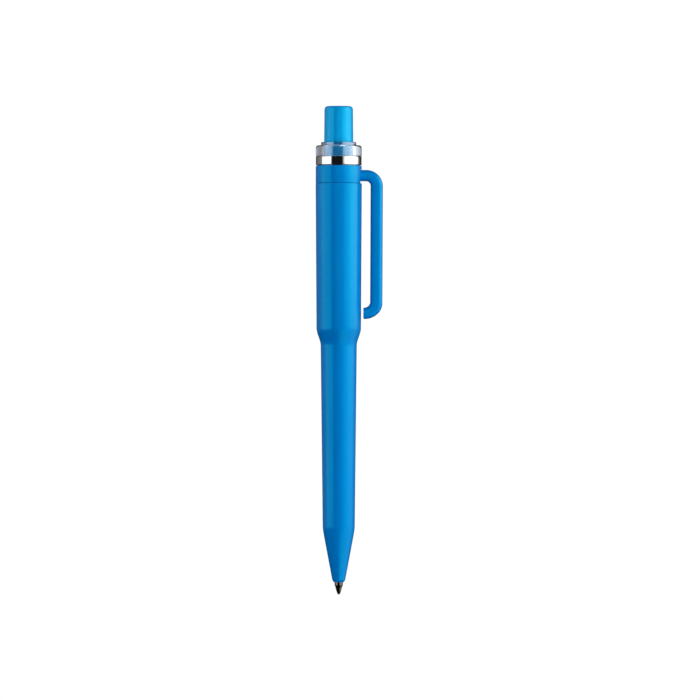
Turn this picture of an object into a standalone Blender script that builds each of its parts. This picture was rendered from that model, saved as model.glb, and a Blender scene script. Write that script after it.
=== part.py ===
"""Retractable ballpoint pen, modelled as an assembly of its separate pieces.

The pen stands upright with its point down and out, as it is when it writes. The origin is
the lowest point of the writing ball, +Z runs up the pen's axis towards the push button, and
the clip is on the +X side. Lengths are millimetres until a mesh becomes an object, which
turns them into metres.
"""

import math

import bmesh
import bpy
from mathutils import Matrix, Vector

MM = 0.001
SIDES = 32              # facets round the casing and the click mechanism
REFILL_SIDES = 24       # facets round the refill's pieces
SMOOTH_ANGLE = math.radians(32)
MERGE = 0.0001

# Overall
PEN_TOP_Z = 141.8
SEAT_GAP = 0.3          # gap kept between faces that rest on each other

# Barrel, outside
NOSE_Z = 3.57
NOSE_EDGE_R = 1.38
NOSE_LIP = 0.05         # how far the nose bore's edge is set in from the nose's lowest ring
NOSE_ROUND_CONTROL = (1.76, 3.8)
NOSE_ROUND_TOP = (1.93, 4.45)
CONE_TOP = (4.14, 16.2)
KNEE = (4.65, 18.9)     # where the cone and the lower barrel would meet in a sharp edge
LOWER_BARREL_Z = 19.7
LOWER_BARREL_BOTTOM_R = 4.66
LOWER_BARREL_TOP_R = 5.24
SHOULDER_BOTTOM_Z = 72.2
SHOULDER_TOP_Z = 77.4
UPPER_BARREL_BOTTOM_R = 6.46
UPPER_BARREL_TOP_R = 6.7
BARREL_RIM_Z = 119.3
RIM_EDGE = 0.15

# Barrel, inside
NOSE_BORE_R = 1.34
NOSE_BORE_TOP_Z = 7.0
HOLDER_BORE_R = 1.9
SPRING_SEAT_Z = 12.0
SPRING_BORE_R = 2.45
SPRING_BORE_TOP_Z = 22.0
REFILL_BORE_R = 3.3
REFILL_BORE_TOP_Z = 73.0
CHAMBER_BOTTOM_Z = 76.0
CHAMBER_R = 5.1
MOUTH_Z = 118.4
MOUTH_R = 6.1

# Thread between the barrel and the guide sleeve: three turns, rounded, right-handed
THREAD_PITCH = 1.5
THREAD_TURNS = 3
THREAD_BOTTOM_Z = 113.0
THREAD_DEPTH = 0.4
THREAD_CORE_R = 5.0
THREAD_GAP = 0.16
THREAD_ROWS_PER_TURN = 5
THREAD_FADE = 0.6       # length over which the thread runs in and out
THREAD_RUNOUT = 0.3     # plain cone below the outer thread

# Guide sleeve
SLEEVE_BOTTOM_Z = 97.5
SLEEVE_BODY_R = 4.9
SLEEVE_NECK_R = 5.0
SLEEVE_TOP_Z = 126.9
SLEEVE_WELL_R = 4.4
SLEEVE_WELL_Z = 119.5
BEAD_R = 5.9
BEAD_TOP_Z = 119.3
BEAD_HEIGHT = 0.4
BEAD_SLOPE = 0.4

# Click mechanism
INDEX_STEPS = 4         # grooves in the sleeve, and ribs on the pieces that run in them
GROOVE_R = 4.05
GUIDE_BORE_R = 3.15
GUIDE_END_Z = 104.0
GUIDE_STOP_Z = 117.3
GROOVE_REACH = 1        # facet edges on each side of a groove's middle that lie in it
RAMP_FACETS = 3
RAMP_RISE = 0.2         # rise of a ramp from one facet edge to the next
CORE_R = 3.0
RIB_R = 3.85
CROWN_TEETH = 8
CROWN_DEPTH = 0.5
RIB_SLOPE = 0.3

# Clip ring and clip
RING_BOTTOM_Z = 119.45
RING_TOP_Z = 124.5
RING_BORE_R = 5.75
RING_R = 6.68
RING_EDGE = 0.22
CLIP_ROOT_BOTTOM_Z = 120.0
CLIP_ROOT_TOP_Z = 123.3
CLIP_DEPTH = 4.2
CLIP_INNER_X = 9.25
CLIP_OUTER_X = 12.85
CLIP_TAPER = 0.14       # how much nearer the axis the arm is at its lower end
CLIP_INNER_ARCH_R = 1.3
CLIP_OUTER_ARCH_R = 4.8
CLIP_ARCH_STEPS = 7
CLIP_FOOT_Z = 79.95
CLIP_FOOT_X = 7.13
CLIP_FOOT_END = (0.1, 0.35)     # how far the foot's end face is set in, above and below
CLIP_FOOT_STEPS = 6
CLIP_FOOT_CURVE_X = 7.42
CLIP_FOOT_INNER_Z = 85.0
CLIP_FOOT_INNER_R = 1.7
CLIP_FOOT_OUTER_Z = 84.6
CLIP_SECTION_POINTS = 16
CLIP_SQUARENESS = 0.68  # 1 gives an oval section and 0 a rectangle
CLIP_SLOT_GAP = 0.12
CLIP_SLOT_DEPTH = 2.0
CLIP_SLOT_OVERRUN = 1.0
CLIP_HEAD_R = (5.2, 5.55)
CLIP_HEAD_SETBACK = 0.3
CLIP_HEAD_OVERLAP = 0.15
CLIP_HEAD_STEPS = 8
CLIP_HEAD_HALF_ANGLE = math.radians(32)
CLIP_PIVOT = (6.2, 0.0, 121.7)

# Chrome ring and clear collar
CHROME_BOTTOM_Z = 124.65
CHROME_TOP_Z = 127.15
CHROME_R = 6.64
CHROME_EDGE = 0.2
COLLAR_BOTTOM_Z = 127.25
COLLAR_SHOULDER_Z = 130.4
COLLAR_TOP_Z = 131.35
COLLAR_R = 6.66
COLLAR_ROUND = 0.8
COLLAR_STEP_R = 5.1
COLLAR_EDGE = 0.2
COLLAR_BORE_R = 4.4
COLLAR_SPIGOT_R = (5.2, 5.65)
COLLAR_SPIGOT_Z = 124.0
COLLAR_RECESS = 0.1     # how far the spigot's inner step is below the collar's foot

# Push button and thrust tube
BUTTON_BOTTOM_Z = 121.0
BUTTON_TOP_R = 4.14
BUTTON_BOTTOM_R = 4.28
BUTTON_ROUND = 1.1
BUTTON_EDGE = 0.2
BUTTON_BORE_R = 3.1
BUTTON_ROOF_Z = 139.0
THRUST_TOP_Z = 138.7
THRUST_BOTTOM_Z = 104.0
THRUST_BORE_R = 1.9
THRUST_EDGE = 0.2
THRUST_RIB_Z = (106.5, 112.0)

# Cam rotor
ROTOR_BOTTOM_Z = 98.3
ROTOR_RIB_BOTTOM_Z = 100.7
ROTOR_RIB_TOP_Z = 103.15
ROTOR_CROWN_Z = 103.4
ROTOR_PIN_R = 1.7
ROTOR_PIN_TOP_Z = 108.0
ROTOR_EDGE = 0.3

# Refill
BALL_R = 0.35
BALL_FLAT_ANGLE = math.radians(15)
BALL_RINGS = 10
BALL_SIDES = 16
SOCKET_R = 0.38
SOCKET_LIP_Z = 0.17
SOCKET_STEPS = 6
THROAT_R = 0.2
THROAT_TOP_Z = 0.85
LIP_R = 0.4
LIP_EDGE = 0.03
TIP_WAIST = (0.7, 1.1)
TIP_CHAMFER = (1.05, 2.42)
TIP_SHANK_Z = 2.66
TIP_SHANK_R = 1.22
TIP_SHANK_TOP_Z = 8.0
TIP_SPIGOT_R = 1.0
TIP_SPIGOT_TOP_Z = 12.0
FEED_R = 0.4
FEED_BOTTOM_Z = 1.0
HOLDER_R = 1.6
HOLDER_CHAMFER = 0.25
HOLDER_SOCKET_GAP = 0.1
HOLDER_FLANGE_R = 2.7
HOLDER_FLANGE_Z = (23.3, 24.0)
HOLDER_SPIGOT_R = 2.45
HOLDER_SPIGOT_EDGE = 0.2
HOLDER_TOP_Z = 29.0
HOLDER_BORE_R_INK = 0.8
TUBE_R = 3.0
TUBE_BORE_R = 2.55
TUBE_Z = (24.3, 93.0)
PLUG_TOP_Z = 98.0
PLUG_SPIGOT_Z = 90.0
PLUG_EDGE = 0.4
PLUG_SPIGOT_GAP = 0.1
PLUG_SPIGOT_EDGE = 0.3
PLUG_VENT_R = 0.4
INK_R = 2.5
INK_TOP_Z = 75.0
INK_POINT_Z = 1.2
INK_GAP = 0.1

# Return spring
SPRING_WIRE_R = 0.2
SPRING_R = 2.0
SPRING_Z = (12.15, 23.15)
SPRING_END_TURNS = 1.25
SPRING_ACTIVE_TURNS = 5.5
SPRING_END_PITCH = 0.45
SPRING_POINTS_PER_TURN = 12


def clear_scene():
    for thing in list(bpy.data.objects):
        bpy.data.objects.remove(thing, do_unlink=True)


def material(name, colour, roughness, metallic=0.0, transmission=0.0):
    made = bpy.data.materials.new(name)
    made.use_nodes = True
    shader = made.node_tree.nodes["Principled BSDF"]
    shader.inputs["Base Color"].default_value = (*colour, 1.0)
    shader.inputs["Roughness"].default_value = roughness
    shader.inputs["Metallic"].default_value = metallic
    shader.inputs["Transmission Weight"].default_value = transmission
    made.diffuse_color = (*colour, 1.0)
    return made


def to_object(bm, name, finish):
    """Turn a closed bmesh in millimetres into a smooth-shaded object in metres."""
    bmesh.ops.remove_doubles(bm, verts=bm.verts, dist=MERGE)
    bmesh.ops.dissolve_degenerate(bm, edges=bm.edges, dist=MERGE)
    bmesh.ops.recalc_face_normals(bm, faces=bm.faces)
    bmesh.ops.scale(bm, verts=bm.verts, vec=(MM, MM, MM))
    mesh = bpy.data.meshes.new(name)
    bm.to_mesh(mesh)
    bm.free()
    mesh.shade_smooth()
    mesh.set_sharp_from_angle(angle=SMOOTH_ANGLE)
    mesh.materials.append(finish)
    made = bpy.data.objects.new(name, mesh)
    bpy.context.scene.collection.objects.link(made)
    return made


def turned(name, outline, finish, ring=True, sides=SIDES, rule=None):
    """Spin an outline of (radius, height) points round the pen's axis.

    A ring's outline is a closed loop. Any other outline runs from the top to the bottom of a
    solid piece, whose two ends are then capped. A rule may move each point of the turned
    piece: it gets the point's facet number, radius and height, and returns both.
    """
    bm = bmesh.new()
    points = [bm.verts.new((radius, 0.0, height)) for radius, height in outline]
    edges = [bm.edges.new(pair) for pair in zip(points, points[1:])]
    if ring:
        edges.append(bm.edges.new((points[-1], points[0])))
    bmesh.ops.spin(
        bm, geom=points + edges, cent=(0, 0, 0), axis=(0, 0, 1),
        angle=math.tau, steps=sides, use_merge=True,
    )
    bmesh.ops.remove_doubles(bm, verts=bm.verts, dist=MERGE)
    if not ring:
        open_edges = [edge for edge in bm.edges if edge.is_boundary]
        bmesh.ops.holes_fill(bm, edges=open_edges, sides=sides)
    if rule:
        for point in bm.verts:
            reach_by_rule(point, sides, rule)
    return to_object(bm, name, finish)


def reach_by_rule(point, sides, rule):
    angle = math.atan2(point.co.y, point.co.x)
    facet = round(angle / math.tau * sides) % sides
    radius, height = rule(facet, point.co.xy.length, point.co.z)
    point.co = (radius * math.cos(angle), radius * math.sin(angle), height)


def bend(start, control, end, steps):
    """Points after the start on the smooth curve that leaves it towards the control point."""
    points = []
    for step in range(1, steps + 1):
        t = step / steps
        points.append(tuple(
            (1 - t) ** 2 * a + 2 * t * (1 - t) * b + t ** 2 * c
            for a, b, c in zip(start, control, end)
        ))
    return points


def rounded_edge(before, corner, after, steps=3):
    return [before, *bend(before, corner, after, steps)]


def smoothstep(t):
    t = min(max(t, 0.0), 1.0)
    return t * t * (3 - 2 * t)


# ---------------------------------------------------------------- thread

def thread_wave(facet, height):
    """Height of the rounded thread, 0 at its root to 1 at its crest, faded at both ends."""
    top = THREAD_BOTTOM_Z + THREAD_PITCH * THREAD_TURNS
    turns = (height - THREAD_BOTTOM_Z) / THREAD_PITCH - facet / SIDES
    fade = smoothstep((height - THREAD_BOTTOM_Z) / THREAD_FADE)
    fade *= smoothstep((top - height) / THREAD_FADE)
    return 0.5 + 0.5 * math.cos(math.tau * turns), fade


def thread_heights():
    rows = THREAD_TURNS * THREAD_ROWS_PER_TURN
    step = THREAD_PITCH / THREAD_ROWS_PER_TURN
    return [THREAD_BOTTOM_Z + step * row for row in range(rows + 1)]


def male_thread(facet, radius, height):
    wave, fade = thread_wave(facet, height)
    return radius + THREAD_DEPTH * wave * fade, height


def female_thread(facet, radius, height):
    wave, fade = thread_wave(facet, height)
    return radius - THREAD_DEPTH * (1 - wave) * fade, height


def in_thread(radius, height, thread_radius):
    heights = thread_heights()
    inside = heights[0] - MERGE < height < heights[-1] + MERGE
    return inside and abs(radius - thread_radius) < MERGE


# ---------------------------------------------------------------- barrel

def barrel_outside():
    """The barrel's outer side from its rim down to the nose."""
    points = [
        (UPPER_BARREL_TOP_R - RIM_EDGE, BARREL_RIM_Z),
        (UPPER_BARREL_TOP_R, BARREL_RIM_Z - RIM_EDGE),
    ]
    steps = 9
    for step in range(steps, -1, -1):
        share = step / steps
        height = SHOULDER_BOTTOM_Z + share * (SHOULDER_TOP_Z - SHOULDER_BOTTOM_Z)
        growth = UPPER_BARREL_BOTTOM_R - LOWER_BARREL_TOP_R
        points.append((LOWER_BARREL_TOP_R + growth * smoothstep(share), height))
    points += rounded_edge((LOWER_BARREL_BOTTOM_R, LOWER_BARREL_Z), KNEE, CONE_TOP, steps=4)
    points += rounded_edge(
        NOSE_ROUND_TOP, NOSE_ROUND_CONTROL, (NOSE_EDGE_R, NOSE_Z), steps=4,
    )
    return points


def barrel_inside():
    """The barrel's bores from the nose up to its mouth."""
    root = THREAD_CORE_R + THREAD_DEPTH + THREAD_GAP
    points = [
        (NOSE_BORE_R, NOSE_Z + NOSE_LIP),
        (NOSE_BORE_R, NOSE_BORE_TOP_Z),
        (HOLDER_BORE_R, NOSE_BORE_TOP_Z),
        (HOLDER_BORE_R, SPRING_SEAT_Z),
        (SPRING_BORE_R, SPRING_SEAT_Z),
        (SPRING_BORE_R, SPRING_BORE_TOP_Z),
        (REFILL_BORE_R, SPRING_BORE_TOP_Z),
        (REFILL_BORE_R, REFILL_BORE_TOP_Z),
        (CHAMBER_R, CHAMBER_BOTTOM_Z),
        (CHAMBER_R, THREAD_BOTTOM_Z - THREAD_FADE),
    ]
    points += [(root, height) for height in thread_heights()]
    points += [(root, MOUTH_Z), (MOUTH_R, MOUTH_Z), (MOUTH_R, BARREL_RIM_Z)]
    return points


def barrel_rule(facet, radius, height):
    root = THREAD_CORE_R + THREAD_DEPTH + THREAD_GAP
    if in_thread(radius, height, root):
        return female_thread(facet, radius, height)
    return radius, height


def make_barrel(finish):
    outline = barrel_outside() + barrel_inside()
    return turned("barrel", outline, finish, rule=barrel_rule)


# ---------------------------------------------------------------- click mechanism

def groove_place(facet):
    """Facet number counted from the middle of the nearest groove."""
    per_step = SIDES // INDEX_STEPS
    place = facet % per_step
    return place if place <= per_step // 2 else place - per_step


def in_groove(facet):
    return abs(groove_place(facet)) <= GROOVE_REACH


def latch_ramp(facet):
    """Saw-tooth cut into the end of each guide rib: a ramp, the latch's step, a ramp."""
    per_step = SIDES // INDEX_STEPS
    if in_groove(facet):
        return 0.0
    first_on_rib = GROOVE_REACH + 1
    return (facet % per_step - first_on_rib) % RAMP_FACETS * RAMP_RISE


def crown_wave(facet):
    per_tooth = SIDES // CROWN_TEETH
    place = facet % per_tooth
    return CROWN_DEPTH * min(place, per_tooth - place) / (per_tooth / 2)


def sleeve_rule(facet, radius, height):
    if in_thread(radius, height, THREAD_CORE_R):
        return male_thread(facet, radius, height)
    at_end = abs(height - GUIDE_END_Z) < MERGE
    at_stop = abs(height - GUIDE_STOP_Z) < MERGE
    if at_end and in_groove(facet):
        return GROOVE_R, height
    if at_end:
        return radius, height + latch_ramp(facet)
    if at_stop and radius > GUIDE_BORE_R + MERGE and not in_groove(facet):
        return GUIDE_BORE_R, height
    return radius, height


def make_guide_sleeve(finish):
    bead_bottom = BEAD_TOP_Z - BEAD_HEIGHT
    outline = [
        (SLEEVE_NECK_R, SLEEVE_TOP_Z),
        (SLEEVE_NECK_R, BEAD_TOP_Z),
        (BEAD_R, BEAD_TOP_Z),
        (BEAD_R, bead_bottom),
        (THREAD_CORE_R, bead_bottom - BEAD_SLOPE),
    ]
    outline += [(THREAD_CORE_R, height) for height in reversed(thread_heights())]
    outline += [
        (SLEEVE_BODY_R, THREAD_BOTTOM_Z - THREAD_RUNOUT),
        (SLEEVE_BODY_R, SLEEVE_BOTTOM_Z),
        (GROOVE_R, SLEEVE_BOTTOM_Z),
        (GROOVE_R, GUIDE_END_Z),
        (GUIDE_BORE_R, GUIDE_END_Z),
        (GROOVE_R, GUIDE_STOP_Z),
        (GUIDE_BORE_R, GUIDE_STOP_Z),
        (GUIDE_BORE_R, SLEEVE_WELL_Z),
        (SLEEVE_WELL_R, SLEEVE_WELL_Z),
        (SLEEVE_WELL_R, SLEEVE_TOP_Z),
    ]
    return turned("guide_sleeve", outline, finish, rule=sleeve_rule)


def rib_radius(facet, radius):
    """A rib point stays out at the rib's crest only in line with a groove."""
    if radius > CORE_R + MERGE and not in_groove(facet):
        return CORE_R
    return radius


def thrust_rule(facet, radius, height):
    if abs(height - THRUST_BOTTOM_Z) < MERGE:
        return radius, height + crown_wave(facet)
    return rib_radius(facet, radius), height


def make_thrust_tube(finish):
    rib_bottom, rib_top = THRUST_RIB_Z
    outline = [
        (CORE_R - THRUST_EDGE, THRUST_TOP_Z),
        (CORE_R, THRUST_TOP_Z - THRUST_EDGE),
        (CORE_R, rib_top + RIB_SLOPE),
        (RIB_R, rib_top),
        (RIB_R, rib_bottom),
        (CORE_R, rib_bottom - RIB_SLOPE),
        (CORE_R, THRUST_BOTTOM_Z),
        (THRUST_BORE_R, THRUST_BOTTOM_Z),
        (THRUST_BORE_R, THRUST_TOP_Z),
    ]
    return turned("thrust_tube", outline, finish, rule=thrust_rule)


def rotor_rule(facet, radius, height):
    if abs(height - ROTOR_CROWN_Z) < MERGE:
        return radius, height + crown_wave(facet)
    if abs(height - ROTOR_RIB_TOP_Z) < MERGE and in_groove(facet):
        return radius, height + (groove_place(facet) + GROOVE_REACH) * RAMP_RISE
    return rib_radius(facet, radius), height


def make_cam_rotor(finish):
    outline = [
        (ROTOR_PIN_R - ROTOR_EDGE, ROTOR_PIN_TOP_Z),
        (ROTOR_PIN_R, ROTOR_PIN_TOP_Z - ROTOR_EDGE),
        (ROTOR_PIN_R, ROTOR_CROWN_Z),
        (CORE_R, ROTOR_CROWN_Z),
        (CORE_R, ROTOR_RIB_TOP_Z),
        (RIB_R, ROTOR_RIB_TOP_Z),
        (RIB_R, ROTOR_RIB_BOTTOM_Z),
        (CORE_R, ROTOR_RIB_BOTTOM_Z),
        (CORE_R, ROTOR_BOTTOM_Z + ROTOR_EDGE),
        (CORE_R - ROTOR_EDGE, ROTOR_BOTTOM_Z),
    ]
    return turned("cam_rotor", outline, finish, ring=False, rule=rotor_rule)


def make_push_button(finish):
    shoulder = PEN_TOP_Z - BUTTON_ROUND
    outline = rounded_edge(
        (BUTTON_TOP_R - BUTTON_ROUND, PEN_TOP_Z), (BUTTON_TOP_R, PEN_TOP_Z),
        (BUTTON_TOP_R, shoulder), steps=4,
    )
    outline += [
        (BUTTON_BOTTOM_R, COLLAR_BOTTOM_Z),
        (BUTTON_BOTTOM_R, BUTTON_BOTTOM_Z + BUTTON_EDGE),
        (BUTTON_BOTTOM_R - BUTTON_EDGE, BUTTON_BOTTOM_Z),
        (BUTTON_BORE_R, BUTTON_BOTTOM_Z),
        (BUTTON_BORE_R, BUTTON_ROOF_Z),
    ]
    return turned("push_button", outline, finish, ring=False)


# ---------------------------------------------------------------- rings at the top

def make_chrome_ring(finish):
    outline = [
        (RING_BORE_R, CHROME_TOP_Z),
        (CHROME_R - CHROME_EDGE, CHROME_TOP_Z),
        (CHROME_R, CHROME_TOP_Z - CHROME_EDGE),
        (CHROME_R, CHROME_BOTTOM_Z + CHROME_EDGE),
        (CHROME_R - CHROME_EDGE, CHROME_BOTTOM_Z),
        (RING_BORE_R, CHROME_BOTTOM_Z),
    ]
    return turned("chrome_ring", outline, finish)


def make_clear_collar(finish):
    spigot_bore, spigot = COLLAR_SPIGOT_R
    outline = [
        (COLLAR_BORE_R, COLLAR_TOP_Z),
        (COLLAR_STEP_R - COLLAR_EDGE, COLLAR_TOP_Z),
        (COLLAR_STEP_R, COLLAR_TOP_Z - COLLAR_EDGE),
        (COLLAR_STEP_R, COLLAR_SHOULDER_Z),
    ]
    outline += rounded_edge(
        (COLLAR_R - COLLAR_ROUND, COLLAR_SHOULDER_Z), (COLLAR_R, COLLAR_SHOULDER_Z),
        (COLLAR_R, COLLAR_SHOULDER_Z - COLLAR_ROUND), steps=4,
    )
    outline += [
        (COLLAR_R, COLLAR_BOTTOM_Z + COLLAR_EDGE),
        (COLLAR_R - COLLAR_EDGE, COLLAR_BOTTOM_Z),
        (spigot, COLLAR_BOTTOM_Z),
        (spigot, COLLAR_SPIGOT_Z),
        (spigot_bore, COLLAR_SPIGOT_Z),
        (spigot_bore, COLLAR_BOTTOM_Z - COLLAR_RECESS),
        (COLLAR_BORE_R, COLLAR_BOTTOM_Z - COLLAR_RECESS),
    ]
    return turned("clear_collar", outline, finish)


def cutter(made):
    made.hide_render = True
    made.display_type = "WIRE"
    return made


def boolean(target, tool, operation):
    step = target.modifiers.new(operation.lower(), "BOOLEAN")
    step.operation = operation
    step.solver = "EXACT"
    step.object = tool


def block(name, low, high, finish):
    """A box between two corners."""
    bm = bmesh.new()
    bmesh.ops.create_cube(bm, size=1.0)
    size = Vector(high) - Vector(low)
    middle = (Vector(high) + Vector(low)) / 2
    bmesh.ops.scale(bm, verts=bm.verts, vec=size)
    bmesh.ops.translate(bm, verts=bm.verts, vec=middle)
    return to_object(bm, name, finish)


def make_clip_ring(finish):
    """The band that carries the clip, with a slot open at the bottom for the clip's root."""
    outline = [
        (RING_BORE_R, RING_TOP_Z),
        (RING_R - RING_EDGE, RING_TOP_Z),
        (RING_R, RING_TOP_Z - RING_EDGE),
        (RING_R, RING_BOTTOM_Z + RING_EDGE),
        (RING_R - RING_EDGE, RING_BOTTOM_Z),
        (RING_BORE_R, RING_BOTTOM_Z),
    ]
    ring = turned("clip_ring", outline, finish)
    half = CLIP_DEPTH / 2 + CLIP_SLOT_GAP
    slot = block(
        "clip_slot", (RING_BORE_R - CLIP_SLOT_DEPTH, -half, RING_BOTTOM_Z - CLIP_SLOT_OVERRUN),
        (RING_R + CLIP_SLOT_OVERRUN, half, CLIP_ROOT_TOP_Z + CLIP_SLOT_GAP), finish,
    )
    boolean(ring, cutter(slot), "DIFFERENCE")
    return ring


# ---------------------------------------------------------------- clip

def clip_stations():
    """Pairs of points, on the clip's inner and outer side, from its root to its foot."""
    arch_x = CLIP_INNER_X - CLIP_INNER_ARCH_R
    inner_arch_z = CLIP_ROOT_BOTTOM_Z - CLIP_INNER_ARCH_R
    outer_arch_x = CLIP_OUTER_X - CLIP_OUTER_ARCH_R
    outer_arch_z = CLIP_ROOT_TOP_Z - CLIP_OUTER_ARCH_R
    start_x = CLIP_HEAD_R[1] - CLIP_HEAD_OVERLAP
    stations = [((start_x, CLIP_ROOT_BOTTOM_Z), (start_x, CLIP_ROOT_TOP_Z))]
    for step in range(CLIP_ARCH_STEPS + 1):
        turn = math.pi / 2 * (1 - step / CLIP_ARCH_STEPS)
        along, up = math.cos(turn), math.sin(turn)
        inner = (arch_x + CLIP_INNER_ARCH_R * along, inner_arch_z + CLIP_INNER_ARCH_R * up)
        outer = (
            outer_arch_x + CLIP_OUTER_ARCH_R * along,
            outer_arch_z + CLIP_OUTER_ARCH_R * up,
        )
        stations.append((inner, outer))
    for step in range(CLIP_FOOT_STEPS + 1):
        turn = math.pi / 2 * step / CLIP_FOOT_STEPS
        along, down = math.cos(turn), math.sin(turn)
        inner_x = CLIP_FOOT_CURVE_X + CLIP_FOOT_INNER_R * along
        outer_reach = CLIP_OUTER_X - CLIP_TAPER - CLIP_FOOT_CURVE_X
        outer_drop = CLIP_FOOT_OUTER_Z - CLIP_FOOT_Z
        inner = (inner_x, CLIP_FOOT_INNER_Z - CLIP_FOOT_INNER_R * down)
        outer = (CLIP_FOOT_CURVE_X + outer_reach * along, CLIP_FOOT_OUTER_Z - outer_drop * down)
        stations.append((inner, outer))
    end_top = CLIP_FOOT_INNER_Z - CLIP_FOOT_INNER_R - CLIP_FOOT_END[0]
    end_bottom = CLIP_FOOT_Z + CLIP_FOOT_END[1]
    stations.append(((CLIP_FOOT_X, end_top), (CLIP_FOOT_X, end_bottom)))
    return stations


def clip_section(inner, outer):
    """A ring of points round the bar: a rectangle with well rounded edges."""
    middle = (Vector((inner[0], 0.0, inner[1])) + Vector((outer[0], 0.0, outer[1]))) / 2
    reach = Vector((outer[0], 0.0, outer[1])) - middle
    points = []
    for side in range(CLIP_SECTION_POINTS):
        angle = math.tau * (side + 0.5) / CLIP_SECTION_POINTS
        across = math.copysign(abs(math.cos(angle)) ** CLIP_SQUARENESS, math.cos(angle))
        depth = math.copysign(abs(math.sin(angle)) ** CLIP_SQUARENESS, math.sin(angle))
        points.append(middle + reach * across + Vector((0.0, CLIP_DEPTH / 2 * depth, 0.0)))
    return points


def make_clip(finish):
    bm = bmesh.new()
    rings = []
    for inner, outer in clip_stations():
        rings.append([bm.verts.new(point) for point in clip_section(inner, outer)])
    for ring, following in zip(rings, rings[1:]):
        for side in range(len(ring)):
            nearer = (ring[side - 1], ring[side])
            further = (following[side], following[side - 1])
            bm.faces.new((*nearer, *further))
    bm.faces.new(rings[0])
    bm.faces.new(rings[-1])
    clip = to_object(bm, "clip", finish)
    boolean(clip, cutter(make_clip_head(finish)), "UNION")
    return clip


def make_clip_head(finish):
    """The curved plate inside the ring that keeps the clip's root from pulling out."""
    inner, outer = CLIP_HEAD_R
    low = CLIP_ROOT_BOTTOM_Z + CLIP_HEAD_SETBACK
    high = CLIP_ROOT_TOP_Z - CLIP_HEAD_SETBACK
    bm = bmesh.new()
    corners = [(inner, low), (outer, low), (outer, high), (inner, high)]
    face = bm.faces.new([bm.verts.new((radius, 0.0, z)) for radius, z in corners])
    half_turn = Matrix.Rotation(-CLIP_HEAD_HALF_ANGLE, 3, "Z")
    bmesh.ops.rotate(bm, verts=bm.verts, cent=(0, 0, 0), matrix=half_turn)
    bmesh.ops.spin(
        bm, geom=[face], cent=(0, 0, 0), axis=(0, 0, 1),
        angle=2 * CLIP_HEAD_HALF_ANGLE, steps=CLIP_HEAD_STEPS,
    )
    return to_object(bm, "clip_head", finish)


# ---------------------------------------------------------------- refill

def make_writing_ball(finish):
    """A sphere with a small flat at each pole, its lower flat at height 0."""
    middle = BALL_R * math.cos(BALL_FLAT_ANGLE)
    outline = []
    for ring in range(BALL_RINGS + 1):
        share = ring / BALL_RINGS
        angle = BALL_FLAT_ANGLE + share * (math.pi - 2 * BALL_FLAT_ANGLE)
        outline.append((BALL_R * math.sin(angle), middle + BALL_R * math.cos(angle)))
    return turned("writing_ball", outline, finish, ring=False, sides=BALL_SIDES)


def socket_outline():
    """The ball's socket from the feed hole's edge down to the lip."""
    middle = BALL_R * math.cos(BALL_FLAT_ANGLE)
    start = math.asin(THROAT_R / SOCKET_R)
    end = math.acos((SOCKET_LIP_Z - middle) / SOCKET_R)
    points = []
    for step in range(SOCKET_STEPS + 1):
        angle = start + (end - start) * step / SOCKET_STEPS
        points.append((SOCKET_R * math.sin(angle), middle + SOCKET_R * math.cos(angle)))
    return points


def make_refill_tip(finish):
    outline = [
        (FEED_R, TIP_SPIGOT_TOP_Z),
        (TIP_SPIGOT_R, TIP_SPIGOT_TOP_Z),
        (TIP_SPIGOT_R, TIP_SHANK_TOP_Z),
        (TIP_SHANK_R, TIP_SHANK_TOP_Z),
        (TIP_SHANK_R, TIP_SHANK_Z),
        TIP_CHAMFER,
        TIP_WAIST,
        (LIP_R, SOCKET_LIP_Z + LIP_EDGE),
        (LIP_R - LIP_EDGE, SOCKET_LIP_Z),
    ]
    outline += reversed(socket_outline())
    outline += [(THROAT_R, THROAT_TOP_Z), (FEED_R, FEED_BOTTOM_Z)]
    return turned("refill_tip", outline, finish, sides=REFILL_SIDES)


def make_tip_holder(finish):
    flange_bottom, flange_top = HOLDER_FLANGE_Z
    bottom = TIP_SHANK_TOP_Z + SEAT_GAP
    socket_r = TIP_SPIGOT_R + HOLDER_SOCKET_GAP
    outline = [
        (HOLDER_BORE_R_INK, HOLDER_TOP_Z),
        (HOLDER_SPIGOT_R - HOLDER_SPIGOT_EDGE, HOLDER_TOP_Z),
        (HOLDER_SPIGOT_R, HOLDER_TOP_Z - HOLDER_SPIGOT_EDGE),
        (HOLDER_SPIGOT_R, flange_top),
        (HOLDER_FLANGE_R, flange_top),
        (HOLDER_FLANGE_R, flange_bottom),
        (HOLDER_R, flange_bottom),
        (HOLDER_R, bottom + HOLDER_CHAMFER),
        (HOLDER_R - HOLDER_CHAMFER, bottom),
        (socket_r, bottom),
        (socket_r, TIP_SPIGOT_TOP_Z + SEAT_GAP),
        (HOLDER_BORE_R_INK, TIP_SPIGOT_TOP_Z + SEAT_GAP),
    ]
    return turned("tip_holder", outline, finish, sides=REFILL_SIDES)


def make_refill_tube(finish):
    bottom, top = TUBE_Z
    outline = [(TUBE_BORE_R, top), (TUBE_R, top), (TUBE_R, bottom), (TUBE_BORE_R, bottom)]
    return turned("refill_tube", outline, finish, sides=REFILL_SIDES)


def make_refill_plug(finish):
    flange_bottom = TUBE_Z[1] + SEAT_GAP
    spigot_r = TUBE_BORE_R - PLUG_SPIGOT_GAP
    outline = [
        (PLUG_VENT_R, PLUG_TOP_Z),
        (TUBE_R - PLUG_EDGE, PLUG_TOP_Z),
        (TUBE_R, PLUG_TOP_Z - PLUG_EDGE),
        (TUBE_R, flange_bottom),
        (spigot_r, flange_bottom),
        (spigot_r, PLUG_SPIGOT_Z + PLUG_SPIGOT_EDGE),
        (spigot_r - PLUG_SPIGOT_EDGE, PLUG_SPIGOT_Z),
        (PLUG_VENT_R, PLUG_SPIGOT_Z),
    ]
    return turned("refill_plug", outline, finish, sides=REFILL_SIDES)


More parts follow.
